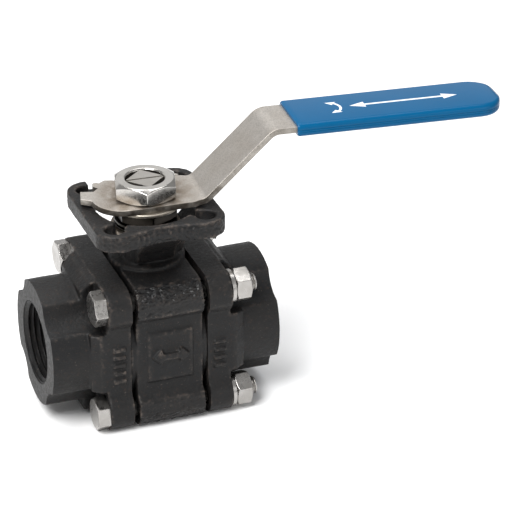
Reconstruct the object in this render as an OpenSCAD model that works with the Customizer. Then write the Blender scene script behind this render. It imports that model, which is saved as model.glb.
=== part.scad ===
// Three-piece ball valve, 3/4 inch female pipe ends, with a direct-mount pad and a hand lever.
// The origin is the ball's centre. +X is the flow axis, +Z is the stem axis, and the lever's
// open position points along +X. Lengths are in millimetres.

/* [Pipe ends] */
// Length of the whole valve along the flow axis
valve_len = 75; // [74:0.5:77]
// Radius of the round end hubs
hub_r = 20.2; // [19.8:0.1:20.6]
// Crest diameter of the internal pipe thread
thread_d = 24.12; // [24.05:0.01:24.2]
// Depth of the internal pipe thread
thread_depth = 16.5; // [15:0.5:17]
// Diameter of the flow passage
passage_d = 20; // [18:0.5:20]

/* [Body] */
// Half width of the flanges over their corner lobes
flange_half = 24.5; // [24.3:0.1:25]
// Distance of each body bolt from the flow axis, along Y and along Z
bolt_offset = 18.7; // [18.5:0.1:18.9]
// Thickness of an end flange under the bolt heads
flange_t = 7.7; // [7.5:0.1:8]
// Half length of the centre body over its corner lobes
body_half = 10.9; // [10.7:0.1:11]
// Gap between the centre body's lobes and the end flanges
lobe_gap = 1.8; // [1.6:0.1:2]

/* [Mounting pad] */
// Width of the square actuator pad
pad_w = 42; // [42:0.5:43]
// Height of the pad's top face above the flow axis
pad_top = 43.1; // [43:0.1:43.3]
// Thickness of the pad's rim
pad_t = 5.5; // [5.3:0.1:5.7]
// Bolt circle of the actuator pad
pad_pcd = 42; // [42:0.1:42.2]
// Diameter of the actuator bolt holes
pad_hole_d = 6.4; // [6:0.1:6.4]

/* [Stem and ball] */
// Diameter of the ball
ball_d = 32; // [31.8:0.1:32]
// Diameter of the stem
stem_d = 12; // [12:0.1:12]
// Width of the stem's square across its flats
stem_square = 9; // [9:0.1:9.2]

/* [Lever] */
// Distance from the stem axis to the end of the sleeve
lever_reach = 116.5; // [100:0.5:130]
// Width of the lever's steel strip
strip_w = 18; // [17:0.5:18]
// Thickness of the lever's steel strip
strip_t = 2; // [2:0.1:2.2]
// Slope of the lever's rising arm, in degrees
arm_slope = 43; // [40:1:46]
// Angle at which the lever stands from its fully open stop, in degrees
rest_turn = 3.5; // [0:0.5:10]
// Wall of the dipped sleeve over the strip
sleeve_wall = 1.2; // [1:0.1:1.4]

/* [Hidden] */
$fn = 64;

eps = 0.5;                                    // how far a cutting shape runs past what it cuts
black = [0.11, 0.11, 0.12];
steel = [0.72, 0.70, 0.67];
bright = [0.82, 0.81, 0.79];
white = [0.93, 0.93, 0.90];
dark_rubber = [0.08, 0.08, 0.08];
blue = [0.10, 0.38, 0.66];

// Flanges and centre body
cap_face = body_half + lobe_gap;              // inner face of each end cap
bolt_face = cap_face + flange_t;              // face under the bolt heads and washers
shoulder_face = bolt_face + 4.6;              // outer face of the flange between its bolt pockets
lobe_r = flange_half - bolt_offset;
side_recess = 2.6;                            // how far the sides stand back between the lobes
side_half = flange_half - side_recess;
lobe_len = flange_half - 15.5;                // length of a lobe along a side
blend_len = 3.5;                              // length over which a side steps back
relief_r = 8.7;                               // bolt pocket and hub relief round each bolt
land_r = side_half - 0.2;                     // raised round land on the body's faces
cavity_r = 17;
seat_pocket = 2;                              // how deep a seat sits in its end cap
seal_r0 = 17.8;
seal_r1 = 20;
seal_t = 1.5;
bolt_hole_r = 3.2;
bolt_r = 3;

// Neck, from the body's top to the pad
boss_r = 12.4;
boss_top = 27.2;
column_half = 8.5;
column_round = 4;
column_top = 34;
chamber_r = 7.5;
chamber_floor = 28;
web_half = 6.3;
pad_half = pad_w / 2;
pad_bottom = pad_top - pad_t;
pad_round = 6.6;
pad_opening_r = 16.3;
pad_side_recess = 2;
throat_w = 4;                                 // slot from each pad hole to the central opening
notch_half = 13;                              // half width of the notch in the pad's back rim
notch_depth = 3;

// Stem stack, from the ball upwards
stem_r = stem_d / 2;
slide = 0.05;                                 // radial running clearance
shoulder_r = 8.5;
shoulder_z0 = 17;
shoulder_z1 = 20.4;
washer_t = 1.2;
pocket_top = shoulder_z1 + washer_t + 0.1;
ring_t = 1.5;
gland_z0 = chamber_floor + 3 * ring_t;
gland_z1 = column_top + 1;
plate_t = 1.2;
spring_z0 = gland_z1 + plate_t;
spring_t = 1.2;                               // height of one disc spring
gland_nut_z0 = spring_z0 + 2 * spring_t + 0.05;
lever_z0 = 43.9;                              // underside of the lever
lever_washer_t = 1.2;
gland_nut_z1 = lever_z0 - lever_washer_t;
lever_z1 = lever_z0 + strip_t;
lever_nut_t = 5.8;
lever_nut_flats = 19;
gland_nut_flats = 18;
stem_top = lever_z1 + lever_nut_t - 0.4;

// Ball and seats
ball_r = ball_d / 2;
seat_gap = 0.05;
seat_face = 9;
seat_back = cap_face + seat_pocket;
slot_w = 6.2;
slot_floor = 12.2;
tang_w = 5.8;
tang_len = 13;

// Body bolts, M6
head_t = 4;
head_flats = 10;
body_nut_t = 5.2;
spring_washer_t = 1.6;
bolt_end = bolt_face + 9.1;

// Lever
plate_round_r = 10.2;                         // round end of the lever's base
plate_round_x = -7;
bend_1_x = 17.3;
bend_2_x = 39.5;
bend_1_r = 4;
bend_2_r = 5;
handle_slope = -1.3;
sleeve_x0 = 47;
sleeve_round = 8.5;
stop_r0 = 16.9;                               // stop ear, from here out by its thickness
stop_open_side = 2.65;                        // reach of the ear towards the open lever
stop_closed_side = 0.27;                      // reach of the ear towards the closed lever's tab
stop_top = 45.3;

function bolt_yz(name) = name == "front_top" ? [-bolt_offset, bolt_offset]
    : name == "front_bottom" ? [-bolt_offset, -bolt_offset]
    : name == "back_top" ? [bolt_offset, bolt_offset]
    : [bolt_offset, -bolt_offset];
corners = ["front_top", "front_bottom", "back_top", "back_bottom"];

// Puts a shape that is built along Z on the flow axis, so that its X is Y and its Y is Z
module along_x(x) { translate([x, 0, 0]) rotate([90, 0, 90]) children(); }

module at_each_bolt() { for (c = corners) translate(bolt_yz(c)) children(); }

module ring(r0, r1, z0, z1) {
    translate([0, 0, z0]) difference() {
        cylinder(r = r1, h = z1 - z0);
        translate([0, 0, -eps]) cylinder(r = r0, h = z1 - z0 + 2 * eps);
    }
}

module hexagon(flats, h) { cylinder(r = flats / 2 / cos(30), h = h, $fn = 6); }

module rounded_square(half, r) {
    for (sx = [-1, 1], sy = [-1, 1]) translate([sx * (half - r), sy * (half - r)]) circle(r);
    square([2 * half, 2 * (half - r)], center = true);
    square([2 * (half - r), 2 * half], center = true);
}

// Cuts one side of a flange back between two lobes. The side faces +X before it is turned.
module side_cut(half, recess, length) {
    polygon([
        [half + eps, -length - blend_len], [half, -length - blend_len],
        [half - recess, -length], [half - recess, length],
        [half, length + blend_len], [half + eps, length + blend_len]
    ]);
}

// Outline of a flange or of the centre body across the flow axis, with a straight top
module flange_outline() {
    straight = flange_half - lobe_len - blend_len;
    difference() {
        rounded_square(flange_half, lobe_r);
        for (turn = [0, 180, 270]) rotate(turn) side_cut(flange_half, side_recess, straight);
    }
}

// Centre body ------------------------------------------------------------------------------
module web(turn) {
    rotate([0, 0, turn]) translate([-web_half, 0, 0]) rotate([90, 0, 90])
        linear_extrude(2 * web_half) polygon([
            [column_half - 1, boss_top - 0.4], [9.8, boss_top], [11.2, boss_top + 3.6],
            [pad_half - 2.4, pad_bottom],
            [pad_half - 2.4, pad_bottom + 1.2], [pad_opening_r, pad_bottom + 1.2],
            [pad_opening_r - 0.3, column_top + 3.6], [12.4, column_top], [column_half - 1, column_top]
        ]);
}

module pad() {
    difference() {
        translate([0, 0, pad_bottom]) linear_extrude(pad_t) difference() {
            rounded_square(pad_half, pad_round);
            for (turn = [90, 270]) rotate(turn) side_cut(pad_half, pad_side_recess, 8);
        }
        translate([0, 0, pad_bottom - eps]) cylinder(r = pad_opening_r, h = pad_t + 2 * eps);
        for (turn = [45:90:315]) rotate([0, 0, turn]) {
            translate([pad_pcd / 2, 0, pad_bottom - eps])
                cylinder(d = pad_hole_d, h = pad_t + 2 * eps);
            translate([pad_opening_r - 1, -throat_w / 2, pad_bottom - eps])
                cube([pad_pcd / 2 - pad_opening_r + 1, throat_w, pad_t + 2 * eps]);
        }
        translate([-notch_half, 12, pad_top - notch_depth])
            cube([2 * notch_half, pad_half, notch_depth + eps]);
    }
}

module neck() {
    translate([0, 0, side_half - 2]) cylinder(r = boss_r, h = flange_half - side_half + 3.2);
    translate([0, 0, flange_half + 1.2])
        cylinder(r1 = boss_r, r2 = column_half, h = boss_top - flange_half - 0.6);
    translate([0, 0, side_half - 2])
        linear_extrude(column_top - side_half + 2) rounded_square(column_half, column_round);
    for (turn = [0, 180, 270]) web(turn);
    pad();
}

module centre_body() {
    color(black) difference() {
        union() {
            along_x(-body_half) linear_extrude(2 * body_half) flange_outline();
            along_x(-cap_face) cylinder(r = land_r, h = 2 * cap_face);
            neck();
        }
        along_x(-cap_face - eps) cylinder(r = cavity_r, h = 2 * (cap_face + eps));
        for (side = [-1, 1]) along_x(side * (cap_face - seal_t / 2) - seal_t / 2 - (side < 0 ? eps : 0))
            difference() {
                cylinder(r = seal_r1, h = seal_t + eps);
                translate([0, 0, -eps]) cylinder(r = seal_r0, h = seal_t + 3 * eps);
            }
        along_x(-cap_face - eps) at_each_bolt() cylinder(r = bolt_hole_r, h = 2 * (cap_face + eps));
        cylinder(r = stem_r + slide, h = column_top + eps);
        translate([0, 0, 10]) cylinder(r = shoulder_r + 0.3, h = pocket_top - 10);
        translate([0, 0, chamber_floor]) cylinder(r = chamber_r, h = column_top - chamber_floor + eps);
    }
}

// End caps ---------------------------------------------------------------------------------
module end_cap() {
    half_len = valve_len / 2;
    chamfer_r = 13.5;
    thread_r = thread_d / 2;
    difference() {
        union() {
            along_x(cap_face) linear_extrude(flange_t) flange_outline();
            along_x(bolt_face - 1) linear_extrude(shoulder_face - bolt_face + 1)
                rounded_square(side_half, 6);
            along_x(cap_face) cylinder(r = hub_r, h = half_len - cap_face);
        }
        along_x(bolt_face) at_each_bolt() cylinder(r = relief_r, h = half_len);
        along_x(cap_face - eps) at_each_bolt() cylinder(r = bolt_hole_r, h = flange_t + 2 * eps);
        along_x(cap_face - eps) cylinder(d = passage_d, h = half_len);
        along_x(cap_face - eps) cylinder(r = cavity_r, h = seat_pocket + eps);
        along_x(half_len - thread_depth) cylinder(r = thread_r, h = thread_depth + eps);
        along_x(half_len - chamfer_r + thread_r)
            cylinder(r1 = thread_r, r2 = chamfer_r + 0.01, h = chamfer_r - thread_r + 0.01);
    }
}

module end_cap_inlet() { color(black) mirror([1, 0, 0]) end_cap(); }
module end_cap_outlet() { color(black) end_cap(); }

// Ball, seats and seals --------------------------------------------------------------------
module ball() {
    color(bright) rotate([0, 0, -rest_turn]) difference() {
        sphere(r = ball_r);
        along_x(-ball_r - eps) cylinder(d = passage_d, h = ball_d + 2 * eps);
        translate([-slot_w / 2, -ball_r, slot_floor]) cube([slot_w, ball_d, ball_r]);
    }
}

module seat() {
    difference() {
        along_x(seat_face) cylinder(r = cavity_r - slide, h = seat_back - seat_face);
        along_x(seat_face - eps) cylinder(d = passage_d, h = seat_back);
        sphere(r = ball_r + seat_gap);
    }
}

module body_seal() {
    along_x(cap_face - seal_t) ring(seal_r0, seal_r1, 0, seal_t);
}

module seat_inlet() { color(white) mirror([1, 0, 0]) seat(); }
module seat_outlet() { color(white) seat(); }
module body_seal_inlet() { color(white) mirror([1, 0, 0]) body_seal(); }
module body_seal_outlet() { color(white) body_seal(); }

// Stem and its packing ---------------------------------------------------------------------
o_ring_z = 25;
o_ring_r = 0.9;

// The stem's square stands with its corners along the flow axis and across it
module square_drive(z, h) {
    rotate([0, 0, 45]) translate([-stem_square / 2, -stem_square / 2, z])
        cube([stem_square, stem_square, h]);
}

module stem() {
    color(steel) rotate([0, 0, -rest_turn]) difference() {
        union() {
            translate([-tang_w / 2, -tang_len / 2, slot_floor + 0.3])
                cube([tang_w, tang_len, shoulder_z0 - slot_floor]);
            translate([0, 0, shoulder_z0]) cylinder(r = shoulder_r, h = shoulder_z1 - shoulder_z0);
            translate([0, 0, shoulder_z0]) cylinder(r = stem_r, h = gland_nut_z1 - shoulder_z0);
            intersection() {
                cylinder(r = stem_r, h = stem_top);
                square_drive(gland_nut_z1 - eps, stem_top);
            }
        }
        ring(stem_r - 2 * o_ring_r, stem_r + 1, o_ring_z - 1.1, o_ring_z + 1.1);
        // Mark that stands parallel to the flow passage
        translate([-stem_d, -0.35, stem_top - 0.5]) cube([2 * stem_d, 0.7, 2]);
    }
}

module stem_thrust_washer() {
    color(white) ring(stem_r + 0.1, shoulder_r + 0.1, shoulder_z1 + 0.05, pocket_top);
}

module stem_o_ring() {
    color(dark_rubber) translate([0, 0, o_ring_z]) rotate_extrude()
        translate([stem_r - o_ring_r, 0]) circle(o_ring_r - 0.02);
}

module packing_ring(index) {
    z = chamber_floor + index * ring_t;
    ring(stem_r + slide, chamber_r - slide, z, z + ring_t - 0.02);
}

module packing_ring_lower() { color(white) packing_ring(0); }
module packing_ring_middle() { color(white) packing_ring(1); }
module packing_ring_upper() { color(white) packing_ring(2); }

module packing_gland() {
    color(steel) difference() {
        union() {
            translate([0, 0, gland_z0]) cylinder(r = chamber_r - slide, h = column_top - gland_z0);
            translate([0, 0, column_top]) cylinder(r = column_half, h = gland_z1 - column_top);
        }
        translate([0, 0, gland_z0 - eps]) cylinder(r = stem_r + 0.1, h = 4);
    }
}

// Plate with one upturned ear, which stands in the pad's back right slot and stops the lever
module stop_plate() {
    arm_w = throat_w - 0.3;
    color(steel) {
        difference() {
            union() {
                translate([0, 0, gland_z1]) cylinder(r = 11, h = plate_t);
                rotate([0, 0, 45]) translate([8, -arm_w / 2, gland_z1])
                    cube([stop_r0 + plate_t - 8, arm_w, plate_t]);
                rotate([0, 0, 45]) translate([stop_r0, -arm_w / 2, gland_z1])
                    cube([plate_t, arm_w, pad_top + 0.2 - gland_z1]);
                rotate([0, 0, 45]) translate([stop_r0, -stop_open_side, pad_top + 0.2])
                    cube([plate_t, stop_open_side + stop_closed_side, stop_top - pad_top - 0.2]);
            }
            translate([0, 0, gland_z1 - eps]) cylinder(r = stem_r + 0.1, h = plate_t + 2 * eps);
        }
    }
}

// Conical spring washer, with its wide edge down or up
module disc_spring(z, wide_down) {
    sheet = 0.8;
    rise = spring_t - sheet;
    outer = 10;
    inner = stem_r + 0.1;
    lift = wide_down ? [0, rise] : [rise, 0];
    translate([0, 0, z]) rotate_extrude() polygon([
        [outer, lift[0]], [outer, lift[0] + sheet], [inner, lift[1] + sheet], [inner, lift[1]]
    ]);
}

module disc_spring_lower() { color(steel) disc_spring(spring_z0, true); }
module disc_spring_upper() { color(steel) disc_spring(spring_z0 + spring_t, false); }

module gland_nut() {
    color(steel) rotate([0, 0, 30 - rest_turn]) difference() {
        translate([0, 0, gland_nut_z0]) hexagon(gland_nut_flats, gland_nut_z1 - gland_nut_z0);
        cylinder(r = stem_r, h = pad_top);
    }
}

// Lever ------------------------------------------------------------------------------------
module lever_washer() {
    color(bright) rotate([0, 0, -rest_turn]) difference() {
        ring(1, 11.5, gland_nut_z1, lever_z0);
        square_drive(gland_nut_z1 - eps, 3);
    }
}

// Points of a bend: [x, z, heading] from point p, turning from heading a0 to heading a1
function bend(p, a0, a1, r, steps = 8) = [
    for (i = [0:steps])
        let (a = a0 + (a1 - a0) * i / steps, s = a1 > a0 ? 1 : -1)
        [p[0] + s * r * (sin(a) - sin(a0)), p[1] - s * r * (cos(a) - cos(a0)), a]
];
function ahead(s, length) = [s[0] + length * cos(s[2]), s[1] + length * sin(s[2]), s[2]];
function last(list) = list[len(list) - 1];

mid_z = lever_z0 + strip_t / 2;
run_1 = bend_1_r * tan(arm_slope / 2);
run_2 = bend_2_r * tan((arm_slope - handle_slope) / 2);
arm_len = (bend_2_x - bend_1_x) / cos(arm_slope) - run_1 - run_2;
first_bend = bend([bend_1_x - run_1, mid_z], 0, arm_slope, bend_1_r);
second_bend = bend(ahead(last(first_bend), arm_len), arm_slope, handle_slope, bend_2_r);
strip_end = ahead(last(second_bend), lever_reach - sleeve_wall - last(second_bend)[0]);
strip_line = concat([[bend_1_x - run_1 - 6, mid_z, 0]], first_bend, second_bend, [strip_end]);
function side_line(line, d) = [for (s = line) [s[0] - d * sin(s[2]), s[1] + d * cos(s[2])]];
function reversed(list) = [for (i = [len(list) - 1:-1:0]) list[i]];

module strip_profile(line, half_t) {
    polygon(concat(side_line(line, half_t), reversed(side_line(line, -half_t))));
}

module lever_base() {
    translate([plate_round_x, 0]) circle(plate_round_r);
    polygon([
        [plate_round_x, -plate_round_r], [13.5, -9.9], [bend_1_x - run_1, -strip_w / 2],
        [bend_1_x - run_1, strip_w / 2], [13.5, 9.9], [plate_round_x, plate_round_r]
    ]);
    // Tabs on the round end, the second of which meets the stop when the valve is closed
    polygon([[-15, 6.2], [-19.2, 7.2], [-20.3, 2], [-17, -0.4], [-12, 0]]);
    polygon([
        [-13, 8], [-14.5, 9.9], [-14.1, 12.1], [-12.85, 12.35], [-12.15, 11.6],
        [-10, 13.2], [-7.2, 12.4], [-5, 9.5]
    ]);
}

module lever() {
    color(steel) rotate([0, 0, -rest_turn]) difference() {
        union() {
            translate([0, 0, lever_z0]) linear_extrude(strip_t) lever_base();
            translate([0, strip_w / 2, 0]) rotate([90, 0, 0])
                linear_extrude(strip_w) strip_profile(strip_line, strip_t / 2);
        }
        square_drive(lever_z0 - eps, strip_t + 2 * eps);
        lever_end_cut();
    }
}

// Rounds the far end of the strip inside the sleeve
module lever_end_cut() {
    r = sleeve_round - sleeve_wall;
    x_end = lever_reach - sleeve_wall;
    translate([0, 0, 50]) linear_extrude(25) difference() {
        translate([x_end - r, -strip_w]) square([r + 3, 2 * strip_w]);
        for (side = [-1, 1]) translate([x_end - r, side * (strip_w / 2 - r)]) circle(r);
        translate([x_end - r - 1, -strip_w / 2 + r]) square([r + 1, strip_w - 2 * r]);
    }
}

module lever_sleeve() {
    half_w = strip_w / 2 + sleeve_wall;
    handle = last(second_bend);
    start = ahead(handle, sleeve_x0 - handle[0]);
    sleeve_line = [start, ahead(handle, lever_reach - handle[0])];
    color(blue) rotate([0, 0, -rest_turn]) difference() {
        intersection() {
            translate([0, half_w, 0]) rotate([90, 0, 0])
                linear_extrude(2 * half_w) strip_profile(sleeve_line, strip_t / 2 + sleeve_wall);
            translate([0, 0, 50]) linear_extrude(25) {
                translate([sleeve_x0 - 1, -half_w])
                    square([lever_reach - sleeve_round - sleeve_x0 + 1, 2 * half_w]);
                for (side = [-1, 1])
                    translate([lever_reach - sleeve_round, side * (half_w - sleeve_round)])
                        circle(sleeve_round);
                translate([lever_reach - sleeve_round - 1, -half_w + sleeve_round])
                    square([sleeve_round + 1, 2 * (half_w - sleeve_round)]);
            }
        }
        difference() {
            translate([0, strip_w / 2, 0]) rotate([90, 0, 0])
                linear_extrude(strip_w) strip_profile(strip_line, strip_t / 2);
            lever_end_cut();
        }
    }
}

module lever_nut() {
    color(bright) rotate([0, 0, 19 - rest_turn]) translate([0, 0, lever_z1]) difference() {
        intersection() {
            hexagon(lever_nut_flats, lever_nut_t);
            // Chamfers the six corners at the top
            cylinder(r1 = lever_nut_flats / 2 + 7, r2 = lever_nut_flats / 2 - 0.2, h = lever_nut_t);
        }
        translate([0, 0, -eps]) cylinder(r = stem_r, h = lever_nut_t + 2 * eps);
        translate([0, 0, lever_nut_t - 0.6])
            cylinder(r1 = stem_r, r2 = stem_r + 0.7, h = 0.7);
    }
}

// Body fasteners ---------------------------------------------------------------------------
module body_bolt(corner) {
    at = bolt_yz(corner);
    color(bright) translate([0, at[0], at[1]]) {
        along_x(-bolt_face) cylinder(r = bolt_r, h = bolt_face + bolt_end);
        along_x(-bolt_face - head_t) intersection() {
            hexagon(head_flats, head_t);
            cylinder(r1 = head_flats / 2 - 0.1, r2 = head_flats / 2 + 6, h = head_t);
        }
    }
}

// Washer with a cut, whose free ends stand apart
module spring_washer(corner) {
    at = bolt_yz(corner);
    color(bright) translate([0, at[0], at[1]]) along_x(bolt_face) difference() {
        cylinder(r = 5.4, h = spring_washer_t);
        translate([0, 0, -eps]) cylinder(r = bolt_r + 0.1, h = spring_washer_t + 2 * eps);
        rotate([0, 0, 200]) translate([bolt_r - 1, -0.4, -eps])
            cube([4, 0.8, spring_washer_t + 2 * eps]);
    }
}

module body_nut(corner) {
    at = bolt_yz(corner);
    color(bright) translate([0, at[0], at[1]]) along_x(bolt_face + spring_washer_t) difference() {
        intersection() {
            hexagon(head_flats, body_nut_t);
            cylinder(r1 = head_flats / 2 + 6.5, r2 = head_flats / 2 - 0.1, h = body_nut_t);
        }
        translate([0, 0, -eps]) cylinder(r = bolt_r, h = body_nut_t + 2 * eps);
    }
}

centre_body();
end_cap_inlet();
end_cap_outlet();
ball();
seat_inlet();
seat_outlet();
body_seal_inlet();
body_seal_outlet();
stem();
stem_thrust_washer();
stem_o_ring();
packing_ring_lower();
packing_ring_middle();
packing_ring_upper();
packing_gland();
stop_plate();
disc_spring_lower();
disc_spring_upper();
gland_nut();
lever_washer();
lever();
lever_sleeve();
lever_nut();
body_bolt("front_top");  // bolt_front_top
body_bolt("front_bottom");  // bolt_front_bottom
body_bolt("back_top");  // bolt_back_top
body_bolt("back_bottom");  // bolt_back_bottom
spring_washer("front_top");  // spring_washer_front_top
spring_washer("front_bottom");  // spring_washer_front_bottom
spring_washer("back_top");  // spring_washer_back_top
spring_washer("back_bottom");  // spring_washer_back_bottom
body_nut("front_top");  // nut_front_top
body_nut("front_bottom");  // nut_front_bottom
body_nut("back_top");  // nut_back_top
body_nut("back_bottom");  // nut_back_bottom
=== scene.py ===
import bmesh
import bpy
import math
import numpy as np
from mathutils import Matrix, Vector, noise


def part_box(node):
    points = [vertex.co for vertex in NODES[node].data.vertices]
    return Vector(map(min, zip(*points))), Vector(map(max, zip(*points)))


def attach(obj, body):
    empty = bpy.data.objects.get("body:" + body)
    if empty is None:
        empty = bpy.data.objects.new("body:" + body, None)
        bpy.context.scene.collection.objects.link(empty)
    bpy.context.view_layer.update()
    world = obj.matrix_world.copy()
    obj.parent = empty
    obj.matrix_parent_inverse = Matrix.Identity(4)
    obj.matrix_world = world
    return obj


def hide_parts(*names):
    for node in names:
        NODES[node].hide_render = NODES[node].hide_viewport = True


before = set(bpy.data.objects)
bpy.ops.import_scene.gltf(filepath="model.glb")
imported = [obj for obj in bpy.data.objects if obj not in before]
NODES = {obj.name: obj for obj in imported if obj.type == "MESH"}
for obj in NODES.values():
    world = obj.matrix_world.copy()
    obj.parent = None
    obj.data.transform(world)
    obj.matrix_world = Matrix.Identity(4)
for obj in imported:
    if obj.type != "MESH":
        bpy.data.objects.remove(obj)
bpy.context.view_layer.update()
MM = 0.001
REST_TURN = 3.5                       # degrees from the lever's open stop

# Main sizes, in millimetres
BOLT_AT = 18.7                        # body bolts, along Y and along Z
BOLT_HOLE_R = 3.25
BOLT_RELIEF_R = 8.75                  # pocket round each bolt
FLANGE_HALF = 24.5
SIDE_HALF = 21.9                      # flange sides between their lobes
LOBE_HALF = 10.9                      # centre body over its lobes, along X
CAP_FACE = 12.7                       # inner face of each end cap
BOLT_FACE = 20.4                      # face under the bolt heads and the washers
VALVE_HALF = 37.5
THREAD_CREST_R, THREAD_ROOT_R, THREAD_PITCH = 12.06, 13.15, 1.814
THREAD_IN = 20.3                      # where the port's thread starts
MOUTH_R = 13.5
CAVITY_R = 17.0
PASSAGE_R = 10.0
PAD_HALF = 21.0
PAD_BOTTOM, PAD_TOP = 37.6, 43.1
PAD_OPENING_R = 16.3
PAD_HOLE_R = 3.2
COLUMN_HALF = 8.5                     # square neck between the body and the pad
COLUMN_TOP = 34.0
LEVER_TOP = 45.9                      # of the lever's flat base, under its nut
CORNERS = {"front_top": (-BOLT_AT, BOLT_AT), "front_bottom": (-BOLT_AT, -BOLT_AT),
           "back_top": (BOLT_AT, BOLT_AT), "back_bottom": (BOLT_AT, -BOLT_AT)}
BOLTS = list(CORNERS.values())


# Mesh tools: everything below is in millimetres until a mesh is made ---------------------------
def make(name, parts):
    """One object from a list of (points, faces)."""
    points, faces, base = [], [], 0
    for p, f in parts:
        points.append(np.asarray(p, float))
        faces += [[i + base for i in face] for face in f]
        base += len(p)
    me = bpy.data.meshes.new(name)
    me.from_pydata((np.vstack(points) * MM).tolist(), [], faces)
    me.validate()
    o = bpy.data.objects.new(name, me)
    bpy.context.scene.collection.objects.link(o)
    return o


def loft(rings, wrap=False):
    """Closed skin over rings of equal length. wrap joins the last ring to the first."""
    n, m = len(rings[0]), len(rings)
    faces = []
    for k in range(m if wrap else m - 1):
        a, b = k * n, (k + 1) % m * n
        faces += [[a + i, a + (i + 1) % n, b + (i + 1) % n, b + i] for i in range(n)]
    if not wrap:
        faces += [list(range(n))[::-1], [(m - 1) * n + i for i in range(n)]]
    return np.vstack(rings), faces


def circle(r, n=96):
    a = np.arange(n) * 2 * math.pi / n
    return np.stack([r * np.cos(a), r * np.sin(a)], 1)


def on_x(flat, x):
    return np.column_stack([np.full(len(flat), float(x)), flat])


def on_z(flat, z):
    return np.column_stack([flat, np.full(len(flat), float(z))])


def tube_x(x0, x1, r0, r1=None, at=(0, 0), n=96):
    r1 = r0 if r1 is None else r1
    return loft([on_x(circle(r0, n) + at, x0), on_x(circle(r1, n) + at, x1)])


def tube_z(z0, z1, r0, r1=None, at=(0, 0), n=96):
    r1 = r0 if r1 is None else r1
    return loft([on_z(circle(r0, n) + at, z0), on_z(circle(r1, n) + at, z1)])


def block(lo, hi, turn=0.0):
    """Box between two corners, turned about Z by some degrees."""
    flat = np.array([(lo[0], lo[1]), (hi[0], lo[1]), (hi[0], hi[1]), (lo[0], hi[1])], float)
    c, s = math.cos(math.radians(turn)), math.sin(math.radians(turn))
    flat = flat @ np.array([[c, s], [-s, c]])
    return loft([on_z(flat, lo[2]), on_z(flat, hi[2])])


def outline(inside, n=288, reach=45.0):
    """Edge of a shape that every ray from its centre leaves only once."""
    a = np.arange(n) * 2 * math.pi / n + 1e-4
    lo, hi = np.zeros(n), np.full(n, reach)
    for _ in range(26):
        mid = (lo + hi) / 2
        within = inside(mid * np.cos(a), mid * np.sin(a))
        lo, hi = np.where(within, mid, lo), np.where(within, hi, mid)
    return np.stack([lo * np.cos(a), lo * np.sin(a)], 1)


def smoothstep(a, b, t):
    t = np.clip((t - a) / (b - a), 0, 1)
    return t * t * (3 - 2 * t)


def in_round_square(y, z, half, r):
    dy, dz = np.abs(y) - (half - r), np.abs(z) - (half - r)
    return np.hypot(np.maximum(dy, 0), np.maximum(dz, 0)) + np.minimum(np.maximum(dy, dz), 0) < r


def in_flange(y, z, depth=2.6, start=11.3, end=15.3):
    """Lobed outline of the flanges: straight on top, set back between the lobes elsewhere."""
    side = FLANGE_HALF - depth * (1 - smoothstep(start, end, np.abs(z)))
    foot = FLANGE_HALF - depth * (1 - smoothstep(start, end, np.abs(y)))
    return in_round_square(y, z, FLANGE_HALF, FLANGE_HALF - BOLT_AT) & (np.abs(y) < side) & (z > -foot)


def mods_applied(o):
    dg = bpy.context.evaluated_depsgraph_get()
    me = bpy.data.meshes.new_from_object(o.evaluated_get(dg))
    old = o.data
    o.modifiers.clear()
    o.data = me
    bpy.data.meshes.remove(old)
    return o


def combined(o, tool, operation):
    m = o.modifiers.new("cut", "BOOLEAN")
    m.operation, m.solver, m.object = operation, "EXACT", tool
    mods_applied(o)
    bpy.data.objects.remove(tool)
    return o


def cut(o, *parts_lists):
    """Takes lists of parts away from o. Parts overlap only from one list to another."""
    tool = make("tool", parts_lists[0])
    for parts in parts_lists[1:]:
        combined(tool, make("tool_part", parts), "UNION")
    return combined(o, tool, "DIFFERENCE")


def join(a, b):
    """Adds b's mesh to a and removes b."""
    bm = bmesh.new()
    bm.from_mesh(a.data)
    bm.from_mesh(b.data)
    bm.to_mesh(a.data)
    bm.free()
    bpy.data.objects.remove(b)


def trim_x(o, x, side):
    """Machines o flat across X, and takes off what is beyond x on that side."""
    bm = bmesh.new()
    bm.from_mesh(o.data)
    made = bmesh.ops.bisect_plane(bm, geom=bm.verts[:] + bm.edges[:] + bm.faces[:],
                                  plane_co=(x * MM, 0, 0), plane_no=(side, 0, 0), clear_outer=True)
    edges = [g for g in made["geom_cut"] if isinstance(g, bmesh.types.BMEdge)]
    bmesh.ops.holes_fill(bm, edges=edges, sides=0)
    bm.to_mesh(o.data)
    bm.free()


def cast(o, rounds):
    """Melts the parts of o into one skin with soft edges and fillets, as a casting has."""
    m = o.modifiers.new("melt", "REMESH")
    m.mode, m.voxel_size, m.use_smooth_shade = "VOXEL", 0.36 * MM, True
    m = o.modifiers.new("soften", "SMOOTH")
    m.factor, m.iterations = 0.5, rounds
    return mods_applied(o)


def coords(me):
    """The mesh's points, in metres."""
    v = np.empty(len(me.vertices) * 3, np.float32)
    me.vertices.foreach_get("co", v)
    return v.reshape(-1, 3).astype(float)


def normals(me):
    v = np.empty(len(me.vertices) * 3, np.float32)
    me.vertex_normals.foreach_get("vector", v)
    return v.reshape(-1, 3).astype(float)


def noise_at(points, size, seed):
    """Smooth noise from -1 to 1 at points in mm, with lumps of that size."""
    q = points / size + seed
    return np.array([noise.noise(Vector(p)) for p in q.tolist()])


def neighbour_mean(edges, values):
    """Mean of the values at each vertex's neighbours."""
    total, count = np.zeros_like(values), np.zeros(len(values))
    for here, there in (edges.T, edges.T[::-1]):
        np.add.at(total, here, values[there])
        np.add.at(count, here, 1)
    return (total.T / count).T


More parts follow.
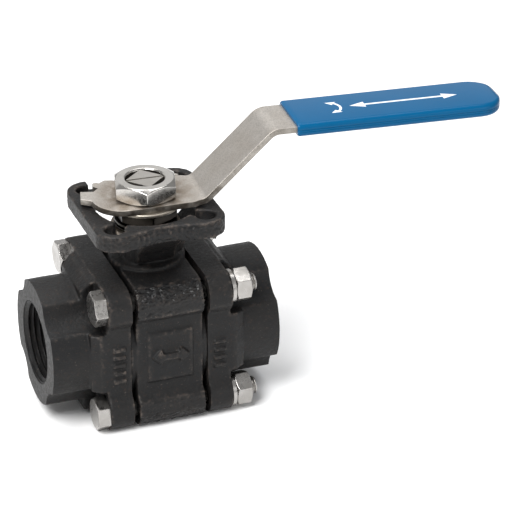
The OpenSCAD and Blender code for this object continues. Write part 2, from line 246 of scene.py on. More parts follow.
def bulge(me, v, n):
    """How far each vertex stands out from its neighbours, in mm, blurred a little."""
    edges = np.empty(len(me.edges) * 2, np.int32)
    me.edges.foreach_get("vertices", edges)
    edges = edges.reshape(-1, 2)
    bend = np.einsum("ij,ij->i", n, v - neighbour_mean(edges, v))
    for _ in range(4):
        bend = (bend + neighbour_mean(edges, bend)) / 2
    return bend


def keep(me, name, values):
    me.attributes.new(name, "FLOAT", "POINT").data.foreach_set("value", values.astype(np.float32))


def weather(o, cad_node, waviness, grain, bands=None, both_ends=True):
    """Casting skin: slight waves, fine grain, rough bands; keeps how worn each edge is."""
    me = o.data
    v = coords(me) / MM
    n = normals(me)
    worn = np.clip(bulge(me, v, n) / 0.03, 0, 1)
    move = waviness * noise_at(v, 5.0, 3.1) + grain * noise_at(v, 0.9, 7.7)
    rough = np.zeros(len(v))
    if bands is not None:
        rough = bands(v)
        wrinkle = noise_at(v * np.array([0.45, 1.0, 1.0]), 0.75, 1.3) + 0.6 * noise_at(v, 0.45, 9.2)
        move += 0.42 * rough * wrinkle
    low, high = (np.array(c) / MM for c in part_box(cad_node))
    v += n * move[:, None]
    v[:, 1:] = np.clip(v[:, 1:], low[1:], high[1:])
    if both_ends:
        v[:, 0] = np.clip(v[:, 0], low[0], high[0])
    me.vertices.foreach_set("co", (v * MM).astype(np.float32).ravel())
    lobe_edges = 1.5 * rough * (1 - rough) * (np.abs(v[:, 2] - 14) < 12)
    keep(me, "wear", np.clip(worn + lobe_edges, 0, 1))
    keep(me, "band", rough)
    me.update()
    return o


def shade(me, degrees):
    """Smooth shading that breaks at edges sharper than the angle."""
    me.polygons.foreach_set("use_smooth", [True] * len(me.polygons))
    me.set_sharp_from_angle(angle=math.radians(degrees))


def smooth_by_angle(o, degrees, bevel=0.0, segments=2):
    """Bevels the sharp edges by some millimetres and shades everything smooth."""
    shade(o.data, degrees)
    if bevel:
        m = o.modifiers.new("edges", "BEVEL")
        m.width, m.segments, m.limit_method = bevel * MM, segments, "ANGLE"
        m.angle_limit, m.use_clamp_overlap = math.radians(degrees), True
        mods_applied(o)
        shade(o.data, 60)
        m = o.modifiers.new("flats", "WEIGHTED_NORMAL")
        m.keep_sharp, m.weight = True, 100
        mods_applied(o)
    return o


def cad_copy(name, node, bevel):
    """A piece with the CAD node's shape, cleaned to whole faces and given real edges."""
    me = NODES[node].data.copy()
    o = bpy.data.objects.new(name, me)
    bpy.context.scene.collection.objects.link(o)
    bm = bmesh.new()
    bm.from_mesh(me)
    bmesh.ops.remove_doubles(bm, verts=bm.verts, dist=0.00001)
    bmesh.ops.dissolve_limit(bm, angle_limit=math.radians(1.5), verts=bm.verts, edges=bm.edges)
    bm.to_mesh(me)
    bm.free()
    return smooth_by_angle(o, 30, bevel)


def turned(parts, degrees):
    c, s = math.cos(math.radians(degrees)), math.sin(math.radians(degrees))
    m = np.array([[c, s, 0], [-s, c, 0], [0, 0, 1]])
    return [(np.asarray(p) @ m, f) for p, f in parts]


def to_x(parts, x=0.0, at=(0, 0), flip=False):
    """Parts built up along Z now stand along X, from x, or against X if flip is set."""
    out = []
    for p, f in parts:
        p = np.asarray(p)
        q = np.column_stack([x + p[:, 2], p[:, 0] + at[0], p[:, 1] + at[1]])
        if flip:
            q[:, 0] = x - p[:, 2]
            f = [face[::-1] for face in f]
        out.append((q, f))
    return out


def lathe(profile, n=96):
    """Ring of revolution about Z from a closed (radius, z) profile."""
    return loft([on_z(circle(r, n), z) for r, z in profile], wrap=True)


def hexagon(flats, height, hole=0.0, bottom=True, start=0.0, n=144, face=0.95, slope=30):
    """Hexagon with turned chamfers: a nut, or without a hole a bolt head."""
    a = start + np.arange(n) * 2 * math.pi / n
    local = (a - start) % (math.pi / 3) - math.pi / 6
    edge = flats / 2 / np.cos(local)
    unit = np.stack([np.cos(a), np.sin(a)], 1)
    r_face = flats / 2 * face
    drop = (edge - r_face) * math.tan(math.radians(slope))
    flat_r = np.full(n, r_face)

    def ring(radius, z):
        return np.column_stack([unit * np.asarray(radius)[:, None], np.broadcast_to(z, n)])

    rings = []
    if hole:
        c = 0.07 * hole
        rings += [ring(np.full(n, hole + c), height), ring(np.full(n, hole), height - c),
                  ring(np.full(n, hole), c), ring(np.full(n, hole + c), 0.0)]
    low = drop if bottom else np.zeros(n)
    if bottom:
        rings.append(ring(flat_r, 0.0))
    rings += [ring(edge, low), ring(edge, height - drop), ring(flat_r, height)]
    return [loft(rings, wrap=bool(hole))]


def thread_rod(length, r, pitch, n=36, per_turn=10, tip=0.5):
    """Externally threaded rod along Z from 0, with a chamfered tip."""
    zs = np.arange(0, length + 1e-6, pitch / per_turn)
    a = np.arange(n) * 2 * math.pi / n
    rings = []
    for z in zs:
        phase = (z / pitch - a / 2 / math.pi) % 1.0
        depth = 0.61 * pitch * np.clip(np.abs(2 * phase - 1) * 1.25 - 0.12, 0, 1)
        radius = np.minimum(r - depth, r - tip + np.clip(length - z, 0, None))
        rings.append(np.column_stack([radius * np.cos(a), radius * np.sin(a), np.full(n, z)]))
    return loft(rings)


def thread_bore(x0, x1, outer, n=120, per_turn=10):
    """Tube along X whose inside is the port's pipe thread, opened by a chamfer at x1."""
    xs = np.linspace(x0, x1, int((x1 - x0) / THREAD_PITCH * per_turn) + 1)
    a = np.arange(n) * 2 * math.pi / n
    unit = np.stack([np.cos(a), np.sin(a)], 1)
    rings = [on_x(unit * outer, x0)]
    for x in xs:
        phase = (x / THREAD_PITCH + a / 2 / math.pi) % 1.0
        depth = (THREAD_ROOT_R - THREAD_CREST_R) * np.clip(np.abs(2 * phase - 1) * 1.3 - 0.15, 0, 1)
        radius = np.maximum(THREAD_CREST_R + depth, MOUTH_R - (x1 - x))
        rings.append(on_x(unit * radius[:, None], x))
    rings.append(on_x(unit * outer, x1))
    p, f = loft(rings, wrap=True)
    return p, [face[::-1] for face in f]


# Materials ------------------------------------------------------------------------------------
def shader(name):
    m = bpy.data.materials.new(name)
    m.use_nodes = True
    nt = m.node_tree
    nt.nodes.clear()
    out = nt.nodes.new("ShaderNodeOutputMaterial")
    b = nt.nodes.new("ShaderNodeBsdfPrincipled")
    nt.links.new(b.outputs[0], out.inputs[0])
    return m, nt, b


def node(nt, kind, **values):
    n = nt.nodes.new(kind)
    for k, v in values.items():
        if k in n.inputs:
            n.inputs[k].default_value = v
        else:
            setattr(n, k, v)
    return n


def noise_node(nt, scale, detail=4.0, stretch=None, roughness=0.55):
    """Noise in object space. scale is lumps per metre."""
    co = nt.nodes.new("ShaderNodeTexCoord").outputs["Object"]
    if stretch:
        mp = nt.nodes.new("ShaderNodeMapping")
        mp.inputs["Scale"].default_value = stretch
        nt.links.new(co, mp.inputs["Vector"])
        co = mp.outputs[0]
    n = node(nt, "ShaderNodeTexNoise", Scale=scale, Detail=detail, Roughness=roughness)
    nt.links.new(co, n.inputs["Vector"])
    return n.outputs["Fac"]


def ramp(nt, fac, stops):
    r = nt.nodes.new("ShaderNodeValToRGB")
    el = r.color_ramp.elements
    while len(el) < len(stops):
        el.new(0.5)
    for e, (pos, col) in zip(el, stops):
        e.position = pos
        e.color = (*col, 1) if isinstance(col, tuple) else (col, col, col, 1)
    nt.links.new(fac, r.inputs[0])
    return r.outputs[0]


def mix(nt, fac, a, b, kind="MIX"):
    m = nt.nodes.new("ShaderNodeMix")
    m.data_type, m.blend_type = "RGBA", kind
    for sock, v in ((m.inputs[0], fac), (m.inputs[6], a), (m.inputs[7], b)):
        if hasattr(v, "links"):
            nt.links.new(v, sock)
        else:
            sock.default_value = v if isinstance(v, float) else (*v, 1)
    return m.outputs[2]


def math_node(nt, op, a, b):
    m = nt.nodes.new("ShaderNodeMath")
    m.operation = op
    for sock, v in zip(m.inputs, (a, b)):
        if hasattr(v, "links"):
            nt.links.new(v, sock)
        else:
            sock.default_value = v
    return m.outputs[0]


def bump(nt, b, heights):
    """Adds layers of (height, distance in mm) to the shader's normal."""
    last = None
    for h, mm in heights:
        n = nt.nodes.new("ShaderNodeBump")
        n.inputs["Distance"].default_value = mm * MM
        nt.links.new(h, n.inputs["Height"])
        if last:
            nt.links.new(last, n.inputs["Normal"])
        last = n.outputs[0]
    nt.links.new(last, b.inputs["Normal"])


def attribute(nt, name):
    a = nt.nodes.new("ShaderNodeAttribute")
    a.attribute_name = name
    return a.outputs["Fac"]


def casting_material(name, dark, light, rust, worn):
    m, nt, b = shader(name)
    big = noise_node(nt, 90, 5)
    fine = noise_node(nt, 900, 4, roughness=0.65)
    grains = noise_node(nt, 2600, 2)
    col = mix(nt, ramp(nt, big, [(0.32, 0.0), (0.68, 1.0)]), dark, light)
    col = mix(nt, ramp(nt, fine, [(0.56, 0.0), (0.74, 0.55)]), col, rust)
    patch = ramp(nt, noise_node(nt, 260, 4), [(0.44, 0.08), (0.62, 1.0)])
    wear = math_node(nt, "MULTIPLY", attribute(nt, "wear"), ramp(nt, fine, [(0.40, 0.0), (0.62, 1.0)]))
    wear = math_node(nt, "MULTIPLY", wear, patch)
    col = mix(nt, math_node(nt, "MULTIPLY", wear, 0.9), col, worn)
    specks = noise_node(nt, 1700, 2)
    col = mix(nt, ramp(nt, specks, [(0.69, 0.0), (0.74, 0.6)]), col, worn)
    nt.links.new(col, b.inputs["Base Color"])
    rough = math_node(nt, "SUBTRACT", ramp(nt, fine, [(0.3, 0.42), (0.7, 0.64)]),
                      math_node(nt, "MULTIPLY", attribute(nt, "band"), 0.19))
    nt.links.new(rough, b.inputs["Roughness"])
    b.inputs["Metallic"].default_value = 0.0
    b.inputs["Specular IOR Level"].default_value = 0.27
    bump(nt, b, [(fine, 0.17), (grains, 0.05)])
    return m


def steel_material(name, colour, dull, rough, marks, stretch=None, scale=900, near_stem_tint=None, reach=18.0):
    """Steel. Given near_stem_tint, it turns to that colour round the stem, fading out at a reach in mm, with
    fine grit all over.
    """
    m, nt, b = shader(name)
    big = noise_node(nt, 120, 4)
    fine = noise_node(nt, scale, 4, stretch)
    col = mix(nt, ramp(nt, big, [(0.35, 0.0), (0.7, 1.0)]), colour, dull)
    # Colour turns towards the tint round the stem and fades out at the reach.
    if near_stem_tint:
        away = nt.nodes.new("ShaderNodeVectorMath")
        away.operation = "LENGTH"
        flat = nt.nodes.new("ShaderNodeMapping")
        flat.inputs["Scale"].default_value = (1, 1, 0)
        nt.links.new(nt.nodes.new("ShaderNodeTexCoord").outputs["Object"], flat.inputs["Vector"])
        nt.links.new(flat.outputs[0], away.inputs[0])
        near = ramp(nt, math_node(nt, "MULTIPLY", away.outputs["Value"], 1 / (reach * MM)),
                    [(0.56, 1.0), (1.0, 0.0)])
        patches = ramp(nt, noise_node(nt, 300, 5), [(0.35, 0.2), (0.6, 1.0)])
        near = math_node(nt, "MULTIPLY", near, patches)
        col = mix(nt, near, col, near_stem_tint)
        grit = ramp(nt, noise_node(nt, 2400, 2), [(0.30, 0.72), (0.55, 1.0)])
        col = mix(nt, 1.0, col, grit, "MULTIPLY")
    nt.links.new(col, b.inputs["Base Color"])
    b.inputs["Metallic"].default_value = 1.0
    both = math_node(nt, "ADD", math_node(nt, "MULTIPLY", fine, 0.6), math_node(nt, "MULTIPLY", big, 0.4))
    nt.links.new(ramp(nt, both, [(0.35, rough[0]), (0.65, rough[1])]), b.inputs["Roughness"])
    bump(nt, b, [(fine, marks)])
    return m


def plastic_material(name, colour, shade, rough, specular=0.5, grain=0.02, scale=700):
    m, nt, b = shader(name)
    big = noise_node(nt, 60, 3)
    fine = noise_node(nt, scale, 3)
    col = mix(nt, ramp(nt, big, [(0.3, 0.0), (0.7, 1.0)]), colour, shade)
    nt.links.new(col, b.inputs["Base Color"])
    nt.links.new(ramp(nt, fine, [(0.3, rough[0]), (0.7, rough[1])]), b.inputs["Roughness"])
    b.inputs["Specular IOR Level"].default_value = specular
    bump(nt, b, [(fine, grain), (big, 0.05)])
    return m


RUST, WORN = (0.036, 0.023, 0.017), (0.105, 0.085, 0.072)
M_CAST = casting_material("cast_steel", (0.0042, 0.0045, 0.0051), (0.0080, 0.0073, 0.0070), RUST, WORN)
M_BRIGHT = steel_material("bright_steel", (0.47, 0.455, 0.44), (0.35, 0.335, 0.315), rough=(0.22, 0.38),
                          marks=0.003)
# Painted shade: dark steel for the bolt shanks, standing in for the shadow in the gaps between the castings.
M_SHADE_SHANK = steel_material("shade_dark_shank_steel", (0.05, 0.048, 0.045), (0.03, 0.028, 0.026), rough=(0.4, 0.5),
                         marks=0.004)
M_NUT = steel_material("lever_nut_steel", (0.54, 0.525, 0.50), (0.46, 0.44, 0.415), rough=(0.14, 0.25),
                       marks=0.0015)
M_LEVER = steel_material("lever_steel", (0.53, 0.50, 0.465), (0.44, 0.405, 0.365), rough=(0.44, 0.58),
                         marks=0.010, stretch=(0.25, 1.0, 1.0), scale=1400, near_stem_tint=(0.25, 0.205, 0.16))
M_EDGE = steel_material("sheared_edge", (0.42, 0.395, 0.36), (0.20, 0.18, 0.155), rough=(0.34, 0.60),
                        marks=0.05, stretch=(0.6, 0.6, 1.6), scale=2400, near_stem_tint=(0.09, 0.076, 0.062),
                        reach=34.0)
M_DISC = steel_material("washer_steel", (0.50, 0.46, 0.40), (0.40, 0.36, 0.30), rough=(0.42, 0.52),
                        marks=0.003)
# Painted shade: near-black steel for the gland nut and the disc springs, standing in for the shadow they sit
# in under the lever.
M_SHADE_DARK = steel_material("shade_dark_steel", (0.014, 0.012, 0.010), (0.030, 0.026, 0.022), rough=(0.28, 0.42),
                        marks=0.003)
M_TURNED = steel_material("turned_steel", (0.48, 0.46, 0.43), (0.38, 0.36, 0.33), rough=(0.26, 0.4),
                          marks=0.004, stretch=(1, 1, 6.0))
M_BALL = steel_material("ball_steel", (0.80, 0.80, 0.80), (0.74, 0.74, 0.75), rough=(0.04, 0.09), marks=0.002)
M_SEAT = plastic_material("seat_polymer", (0.80, 0.79, 0.74), (0.70, 0.69, 0.64), (0.35, 0.5))
M_RUBBER = plastic_material("o_ring_rubber", (0.012, 0.012, 0.012), (0.02, 0.02, 0.02), (0.4, 0.6))
M_SLEEVE = plastic_material("sleeve_vinyl", (0.0010, 0.086, 0.208), (0.0009, 0.078, 0.190), (0.17, 0.23),
                            specular=0.12, grain=0.0003, scale=300)
M_PRINT = plastic_material("print_white", (0.80, 0.83, 0.86), (0.70, 0.75, 0.80), (0.4, 0.55))


def place(o, material, body, slot, *replaced):
    """Gives a piece its material and its body, and hides the CAD nodes that it replaces. slot is not used."""
    o.data.materials.clear()
    o.data.materials.append(material)
    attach(o, body)
    if replaced:
        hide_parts(*replaced)
    return o


# End caps -------------------------------------------------------------------------------------
def bolt_holes(x0, x1):
    return [tube_x(x0, x1, BOLT_HOLE_R, at=b, n=48) for b in BOLTS]


def clear_of_bolts(y, z):
    return np.hypot(np.abs(y) - BOLT_AT, np.abs(z) - BOLT_AT) > BOLT_RELIEF_R


def shoulder(top, side):
    """Outline of the step between a flange and its hub."""
    return outline(lambda y, z: (in_round_square(y, z, FLANGE_HALF - 0.1, 6) & (np.abs(y) < side)
                                 & (z < top) & (z > -SIDE_HALF) & clear_of_bolts(y, z)))


def hub_outline():
    return outline(lambda y, z: (np.hypot(y, z) < 20.2) & clear_of_bolts(y, z))


def raised_bars(y, lowest, count):
    """Short raised bars on the flange edge, as a foundry's tally."""
    x, length, width, raised, step = 16.6, 4.0, 1.3, 0.85, 2.8
    reach = np.array([length / 2, raised, width / 2])
    middles = [np.array([x, y, lowest + step * k]) for k in range(count)]
    return [block(middle - reach, middle + reach) for middle in middles]


def end_cap(name, side):
    """An end cap, built for the outlet side. Its faces across X are machined after casting."""
    flange, hub = outline(in_flange), hub_outline()
    parts = [loft([on_x(flange, CAP_FACE - 0.5), on_x(flange, BOLT_FACE)]),
             loft([on_x(shoulder(24.3, SIDE_HALF), BOLT_FACE - 1), on_x(shoulder(23.6, SIDE_HALF), 22.2),
                   on_x(shoulder(20.6, 20.2), 25.2)]),
             loft([on_x(hub, BOLT_FACE - 1), on_x(hub, VALVE_HALF + 1.5)]),
             tube_x(CAP_FACE - 0.5, BOLT_FACE - 0.2, 20.25, n=288)]
    parts += raised_bars(-SIDE_HALF, -7.0, 4) if side > 0 else raised_bars(SIDE_HALF, -6.6, 5)
    o = cast(make(name, parts), 5)
    weather(o, "end_cap_outlet", 0.07, 0.035, both_ends=False)
    trim_x(o, CAP_FACE, -1)
    trim_x(o, VALVE_HALF, 1)
    seat_back, liner_r = CAP_FACE + 2, 13.3
    bore = [(CAVITY_R, 8), (CAVITY_R, seat_back), (PASSAGE_R, seat_back), (PASSAGE_R, THREAD_IN - 0.1),
            (liner_r, THREAD_IN - 0.1), (liner_r, 45)]
    bore = loft([on_x(circle(r, 120), x) for r, x in bore])
    cut(o, [bore] + bolt_holes(10, 22))
    join(o, make("liner", [thread_bore(THREAD_IN, VALVE_HALF, liner_r + 0.06)]))
    if side < 0:                          # turned, not mirrored, to keep a right-handed thread
        o.data.transform(Matrix.Rotation(math.pi, 4, "Z"))
    shade(o.data, 40)
    return o


place(end_cap("inlet_cap", -1), M_CAST, "housing", "casting", "end_cap_inlet")
place(end_cap("outlet_cap", 1), M_CAST, "housing", "casting", "end_cap_outlet")


# Centre body with its neck and pad ------------------------------------------------------------
def pad_front(x):
    """How far the pad's edge stands in front of the stem: less in the middle than at the corners."""
    return PAD_HALF - 2.2 * (1 - smoothstep(0.0, 13.5, np.abs(x)))


def make_pad():
    edge = outline(lambda x, y: in_round_square(x, y, PAD_HALF, 6.6) & (np.abs(y) < pad_front(x)))
    low, high, turns = PAD_BOTTOM - 1.6, PAD_TOP + 1.9, range(45, 360, 90)
    throats = [block((PAD_OPENING_R - 1, -2, low), (PAD_HALF, 2, high), turn) for turn in turns]
    holes = [tube_z(low, high, PAD_HOLE_R, n=48, at=(PAD_HALF * math.cos(math.radians(turn)),
                                                     PAD_HALF * math.sin(math.radians(turn))))
             for turn in turns]
    notch = block((-13, 11, PAD_TOP - 3), (13, 30, PAD_TOP + 2.9))
    pad = make("pad", [loft([on_z(edge, PAD_BOTTOM), on_z(edge, PAD_TOP)])])
    return cut(pad, [tube_z(low, high, PAD_OPENING_R)], throats, holes, [notch])


def neck_parts():
    """Round boss, square column, and the webs that carry the pad in front, on the right and behind."""
    column = outline(lambda x, y: in_round_square(x, y, COLUMN_HALF, 4))
    half, foot, root = 6.3, 17, COLUMN_HALF - 1
    web = np.array([(root, 26.6), (9.8, 27.2), (11.2, 30.8), (18.4, 37.8), (18.4, 38.8), (16.2, 38.8),
                    (16.0, PAD_BOTTOM), (12.4, COLUMN_TOP), (root, COLUMN_TOP)])
    sides = [np.column_stack([np.full(len(web), x), -web[:, 0], web[:, 1]]) for x in (-half, half)]
    sheet = [loft(sides)]
    return [tube_z(foot, 25.5, 12.2), tube_z(25.5, 26.9, 12.2, 8.8),
            loft([on_z(column, foot), on_z(column, COLUMN_TOP)]),
            *sheet, *turned(sheet, 90), *turned(sheet, 180)]


def front_marks():
    """Panel with a raised double arrow, dots on the foot, and bars on the pad's rim."""
    tip, head, wide, thin = 6.2, 2.9, 2.9, 1.1
    half = [(-tip, 0), (-head, wide), (-head, thin), (head, thin), (head, wide)]
    arrow = np.array(half + [(-x, -z) for x, z in half])
    sign = loft([np.column_stack([arrow[:, 0], np.full(len(arrow), y), arrow[:, 1] + 0.2])
                 for y in (-21, -24.3)])
    dots = [tube_x(x, x + 1.2, 1.0, at=(-23.9, -17.2), n=16) for x in (-6.5, -3.9, -1.3, 1.3, 3.9)]
    bars = [block((x - 0.45, -pad_front(x) - 0.5, 38.9), (x + 0.45, -pad_front(x) + 1.0, 41.9))
            for x in np.arange(-9.0, 9.1, 1.8)]
    return [block((-7.4, -23.0, -8.4), (7.4, -20, 8.6)), sign, *dots, *bars]


def rough_bands(v):
    """How rough the skin is at points in mm: on the lobes, in front and behind, and on the pad's rim."""
    x, y, z = v.T
    lobes = (smoothstep(14.6, 16.0, np.abs(z)) * (1 - smoothstep(24.3, 24.9, np.abs(z)))
             * smoothstep(19.5, 21.5, np.abs(y)))
    rim = (0.7 * (smoothstep(17.6, 18.6, -y) + 0.5 * smoothstep(20.2, 20.8, -x))
           * smoothstep(37.4, 38.2, z) * (1 - smoothstep(42.2, 43.0, z)))
    return lobes + rim


def centre_body():
    body = outline(lambda y, z: in_flange(y, z, 2.4, 12.6, 15.2))
    o = make("centre_casting", [loft([on_x(body, -LOBE_HALF), on_x(body, LOBE_HALF)]),
                                tube_x(-CAP_FACE, CAP_FACE, 21.8), *neck_parts(), *front_marks()])
    join(o, make_pad())
    cast(o, 8)
    weather(o, "centre_body", 0.09, 0.045, rough_bands)
    pocket_r, pocket_top, stem_hole_r, chamber_r, chamber_floor = 8.8, 21.7, 6.05, 7.5, 28
    bore = [(pocket_r, 10), (pocket_r, pocket_top), (stem_hole_r, pocket_top), (stem_hole_r, chamber_floor),
            (chamber_r, chamber_floor), (chamber_r, 36.5)]
    cut(o, [tube_x(-16, 16, CAVITY_R)] + bolt_holes(-16, 16), [loft([on_z(circle(r), z) for r, z in bore])])
    shade(o.data, 45)
    return o


place(centre_body(), M_CAST, "housing", "casting", "centre_body")


# Body fasteners -------------------------------------------------------------------------------
BODY_BOLT_FLATS, BODY_BOLT_R = 9.9, 2.98


def body_bolt(at, turn):
    """Head against the inlet flange, plain shank, and thread from there to the end."""
    thread_from, thread_len, pitch = 8.0, 21.4, 1.0
    head = hexagon(BODY_BOLT_FLATS, 4.0, bottom=False, start=turn, face=0.93)
    plain = tube_x(-BOLT_FACE, thread_from, BODY_BOLT_R - 0.02, at=at, n=36)
    screw = to_x([thread_rod(thread_len, BODY_BOLT_R, pitch)], thread_from, at)
    return to_x(head, -BOLT_FACE, at, flip=True) + [plain] + screw


def split_washer(at, turn):
    """Spring washer with a gap, whose two ends stand a little apart along X."""
    steps, gap, spread, middle = 60, 10, 0.24, BOLT_FACE + 0.82
    section = ((3.15, -0.66), (5.25, -0.66), (5.35, -0.56), (5.35, 0.56), (5.25, 0.66), (3.15, 0.66))
    rings = []
    for share in np.linspace(0, 1, steps + 1):
        a = turn + math.radians(gap / 2 + (360 - gap) * share)
        x = middle + spread * (share - 0.5)
        rings.append(np.array([(x + w, at[0] + r * math.cos(a), at[1] + r * math.sin(a))
                               for r, w in section]))
    return [loft(rings)]


for k, (corner, at) in enumerate(CORNERS.items()):
    turn = math.radians((8, 21, 47, 33)[k])
    bolt = place(smooth_by_angle(make("hex_bolt_" + corner, body_bolt(at, turn)), 32, 0.12),
                 M_BRIGHT, "housing", "bright_steel", "bolt_" + corner)
    bolt.data.materials.append(M_SHADE_SHANK)       # the shank between the flanges, painted dark for the shade in the gaps
    bolt.data.polygons.foreach_set("material_index", [int(abs(f.center.x) < 14 * MM)
                                                      for f in bolt.data.polygons])
    place(smooth_by_angle(make("split_washer_" + corner, split_washer(at, turn + k)), 40),
          M_BRIGHT, "housing", "bright_steel", "spring_washer_" + corner)
    nut = to_x(hexagon(BODY_BOLT_FLATS, 5.2, BODY_BOLT_R, start=turn + 0.3, face=0.94), BOLT_FACE + 1.6, at)
    place(smooth_by_angle(make("hex_nut_" + corner, nut), 32, 0.12),
          M_BRIGHT, "housing", "bright_steel", "nut_" + corner)


# Stem stack -----------------------------------------------------------------------------------
def stem_nut(name, parts, z, degrees, bevel, segments, material, node_name):
    parts = [(p + np.array([0, 0, z]), f) for p, f in turned(parts, degrees - REST_TURN)]
    o = smooth_by_angle(make(name, parts), 32, bevel, segments)
    place(o, material, "lever_and_stem", "bright_steel", node_name)


def turned_ring(name, profile, material, body, node_name):
    place(smooth_by_angle(make(name, [lathe(profile)]), 35, 0.08), material, body, "bright_steel", node_name)


stem_nut("top_nut", hexagon(18.8, 5.8, 6.1, face=0.955, slope=32), LEVER_TOP, 19, 0.18, 3, M_NUT, "lever_nut")
# The packing nut and the disc springs below take the near-black steel of painted shade.
stem_nut("packing_nut", hexagon(17.9, 4.14, 6.02), 38.56, 30, 0.15, 2, M_SHADE_DARK, "gland_nut")
turned_ring("washer_under_lever", [(6.4, 42.72), (11.2, 42.72), (11.45, 42.95), (11.45, 43.65),
                                   (11.2, 43.88), (6.4, 43.88)], M_DISC, "lever_and_stem", "lever_washer")
for level, outer_z, rise in (("lower", 36.2, 0.4), ("upper", 37.8, -0.4)):
    inner_r, outer_r, sheet = 6.1, 10.0, 0.8
    turned_ring("spring_disc_" + level, [(inner_r, outer_z + rise), (outer_r, outer_z),
                                         (outer_r, outer_z + sheet), (inner_r, outer_z + rise + sheet)],
                M_SHADE_DARK, "housing", "disc_spring_" + level)
place(cad_copy("stop_ear_plate", "stop_plate", 0.2), M_LEVER, "housing", "lever_steel", "stop_plate")
place(cad_copy("turned_stem", "stem", 0.12), M_TURNED, "lever_and_stem", "stem_steel", "stem")
for name, material in (("ball", M_BALL), ("seat_inlet", M_SEAT), ("seat_outlet", M_SEAT),
                       ("body_seal_inlet", M_SEAT), ("body_seal_outlet", M_SEAT),
                       ("stem_thrust_washer", M_SEAT), ("stem_o_ring", M_RUBBER),
                       ("packing_ring_lower", M_SEAT), ("packing_ring_middle", M_SEAT),
                       ("packing_ring_upper", M_SEAT), ("packing_gland", M_TURNED)):
    o = NODES[name]
    o.data.materials.clear()
    o.data.materials.append(material)


# Lever and sleeve -----------------------------------------------------------------------------
def edges_sheared(o):
    """Gives the cut edges of the strip their own darker steel."""
    c, s = math.cos(math.radians(REST_TURN)), math.sin(math.radians(REST_TURN))
    o.data.materials.append(M_EDGE)
    for f in o.data.polygons:
        across = abs(f.normal.y * c + f.normal.x * s)
        f.material_index = int(across > 0.7 or (abs(f.normal.z) < 0.4 and f.center.x < 20 * MM))


edges_sheared(place(cad_copy("lever_strip", "lever", 0.28), M_LEVER, "lever_and_stem", "lever_steel",
                    "lever"))

SLOPE = math.radians(-1.3)
SLEEVE_FROM, SLEEVE_TO = 47.0, 116.5                # along the lever, from the stem
SLEEVE_HALF_W, SLEEVE_HALF_T = 10.2, 2.2
END_ROUND = 8.5                                     # rounding of the sleeve's end, seen from above
HANDLE_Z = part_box("lever_sleeve")[1][2] / MM - SLEEVE_HALF_T - 0.01   # strip's middle, at SLEEVE_FROM


def handle_point(x, y, up):
    """A point of the handle, from its x, its y and its height over the strip's centre line."""
    return x, y, HANDLE_Z + (x - SLEEVE_FROM) * math.tan(SLOPE) + up / math.cos(SLOPE)


def sleeve_ring(x, half_w, half_t):
    """Section of the sleeve at x: a rounded bar with two fine grooves along each side."""
    groove = ((0.32, 0), (0.18, 0.14), (0.04, 0), (-0.34, 0), (-0.48, 0.14), (-0.62, 0))
    steps, ring = 6, []
    r = min(1.5, half_w - 0.2, half_t - 0.7)
    for cy, cz, start in ((1, 1, 0), (-1, 1, 90), (-1, -1, 180), (1, -1, 270)):
        for k in range(steps + 1):
            a = math.radians(start + 90 * k / steps)
            ring.append(handle_point(x, cy * (half_w - r) + r * math.cos(a),
                                     cz * (half_t - r) + r * math.sin(a)))
        if cy != cz:                                # a side follows this corner
            for up, deep in groove:
                deep = deep if half_w > 4 else 0.0
                up = up if cy < 0 else -0.3 - up
                ring.append(handle_point(x, cy * (half_w - deep), up * min(1, half_t / SLEEVE_HALF_T)))
    return np.array(ring)


def sleeve():
    lip_len, lip_depth, dome_len = 0.6, 0.35, 1.9
    end_xs = SLEEVE_TO - 9.0 * (1 - np.sin(np.linspace(0.08, math.pi / 2, 16)))
    rings = []
    for x in [SLEEVE_FROM, SLEEVE_FROM + 0.15, SLEEVE_FROM + lip_len, *np.linspace(49, 107, 12), *end_xs]:
        share = min(1.0, max(0.0, x - SLEEVE_TO + END_ROUND) / END_ROUND)
        half_w = SLEEVE_HALF_W - END_ROUND * (1 - math.sqrt(1 - share * share))
        half_t = SLEEVE_HALF_T - 0.9 * max(0.0, (x - SLEEVE_TO + dome_len) / dome_len) ** 2
        lip = lip_depth * max(0.0, 1 - (x - SLEEVE_FROM) / lip_len)
        rings.append(sleeve_ring(x, half_w - lip, half_t - lip))
    return loft(rings)


def turned_to_rest(o):
    o.data.transform(Matrix.Rotation(math.radians(-REST_TURN), 4, "Z"))
    o.data.update()
    return o


place(turned_to_rest(smooth_by_angle(make("dipped_sleeve", [sleeve()]), 60)), M_SLEEVE, "lever_and_stem",
      "sleeve", "lever_sleeve")


def printed(flat):
    """A printed mark on the sleeve's top: a thin raised shape from its outline in x and y."""
    return loft([np.array([handle_point(x, y, up) for x, y in flat])
                 for up in (SLEEVE_HALF_T - 0.05, SLEEVE_HALF_T + 0.03)])


def curved_arrow(x, r, half_sweep, w):
    """Double arrow along an arc about a point on the handle's middle line."""
    def at(radius, angle):
        return x + radius * math.cos(angle), radius * math.sin(angle)

    angles = np.radians(np.linspace(-half_sweep, half_sweep, 22))
    parts = [printed([at(r - w / 2, a) for a in angles] + [at(r + w / 2, a) for a in angles[::-1]])]
    for end, way in ((angles[0], -1), (angles[-1], 1)):
        parts.append(printed([at(r - w * 1.6, end), at(r + w * 1.6, end), at(r, end + way * 0.75)]))
    return parts


def straight_arrow(x0, x1, half_w, head_len, head_half):
    """Double arrow along the handle."""
    return [printed([(x0, -half_w), (x1, -half_w), (x1, half_w), (x0, half_w)]),
            printed([(x1, -head_half), (x1 + head_len, 0), (x1, head_half)]),
            printed([(x0, head_half), (x0 - head_len, 0), (x0, -head_half)])]


marks = curved_arrow(60.0, 3.9, 48, 0.8) + straight_arrow(72.0, 98.0, 0.45, 5.0, 1.9)
place(turned_to_rest(make("print_marks", marks)), M_PRINT, "lever_and_stem", "sleeve")


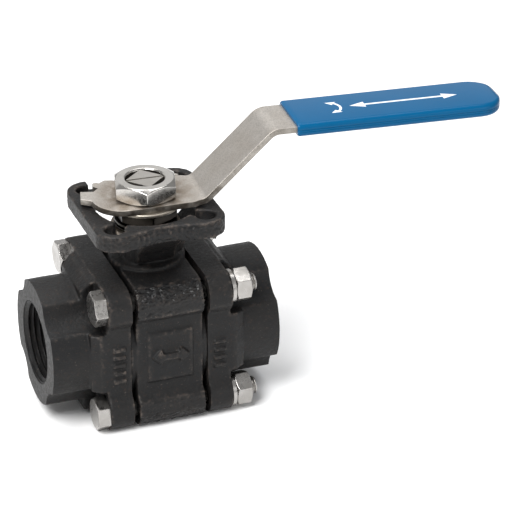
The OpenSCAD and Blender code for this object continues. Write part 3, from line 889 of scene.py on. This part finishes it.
# Stage: pale floor, soft studio light, camera --------------------------------------------------
def floor():
    half, z = 3000, -FLANGE_HALF - 0.1
    corners = np.array([(-half, -half, z), (half, -half, z), (half, half, z), (-half, half, z)])
    o = make("floor", [(corners, [[0, 1, 2, 3]])])
    m, nt, b = shader("floor_paper")
    paper = mix(nt, noise_node(nt, 3, 2), (0.90, 0.90, 0.90), (0.93, 0.93, 0.93))
    nt.links.new(paper, b.inputs["Base Color"])
    b.inputs["Roughness"].default_value = 0.9
    b.inputs["Specular IOR Level"].default_value = 0.1
    o.data.materials.append(m)


def area_light(name, place_at, aim, size, power):
    """Softbox, in metres and watts."""
    light = bpy.data.lights.new(name, "AREA")
    light.shape, light.size, light.size_y, light.energy = "RECTANGLE", size[0], size[1], power
    o = bpy.data.objects.new(name, light)
    o.location = place_at
    o.rotation_mode = "QUATERNION"
    o.rotation_quaternion = (Vector(aim) - Vector(place_at)).to_track_quat("-Z", "Y")
    bpy.context.scene.collection.objects.link(o)


floor()
area_light("key_softbox", (-0.45, -0.35, 0.75), (0, 0, 0.02), (0.5, 0.5), 11)
area_light("top_softbox", (0.10, 0.25, 0.85), (0.02, 0, 0.02), (0.7, 0.5), 4.2)
area_light("back_softbox", (0.0, 1.12, 0.58), (0, 0, 0.03), (1.8, 0.6), 2.0)
area_light("front_fill", (0.55, -0.75, 0.30), (0, 0, 0.02), (0.5, 0.4), 1.6)
world = bpy.data.worlds.new("studio")
world.use_nodes = True
world.node_tree.nodes["Background"].inputs["Color"].default_value = (1, 1, 1, 1)
world.node_tree.nodes["Background"].inputs["Strength"].default_value = 0.36
scene = bpy.context.scene
scene.world = world
scene.view_settings.view_transform = "Standard"

# Camera: metres. The valve's centre stands aside and below the middle of the view.
AZ, EL, ROLL = math.radians(-20.059), math.radians(27.472), math.radians(-0.157)
DISTANCE, ASIDE, BELOW = 0.930589, 0.033478, 0.021128
back = Vector((math.sin(AZ) * math.cos(EL), -math.cos(AZ) * math.cos(EL), math.sin(EL)))
right = Vector((math.cos(AZ), math.sin(AZ), 0))
up = back.cross(right)
cam_data = bpy.data.cameras.new("camera")
cam = bpy.data.objects.new("camera", cam_data)
scene.collection.objects.link(cam)
cam.location = back * DISTANCE + right * ASIDE + up * BELOW
cam.rotation_mode = "QUATERNION"
turn = Matrix((right, up, back)).transposed().to_quaternion()
cam.rotation_quaternion = turn @ Matrix.Rotation(ROLL, 3, "Z").to_quaternion()
cam_data.sensor_width = 36
cam_data.lens = 204.4
cam_data.shift_x = 0.0072
cam_data.clip_start, cam_data.clip_end = 0.05, 20
scene.camera = cam
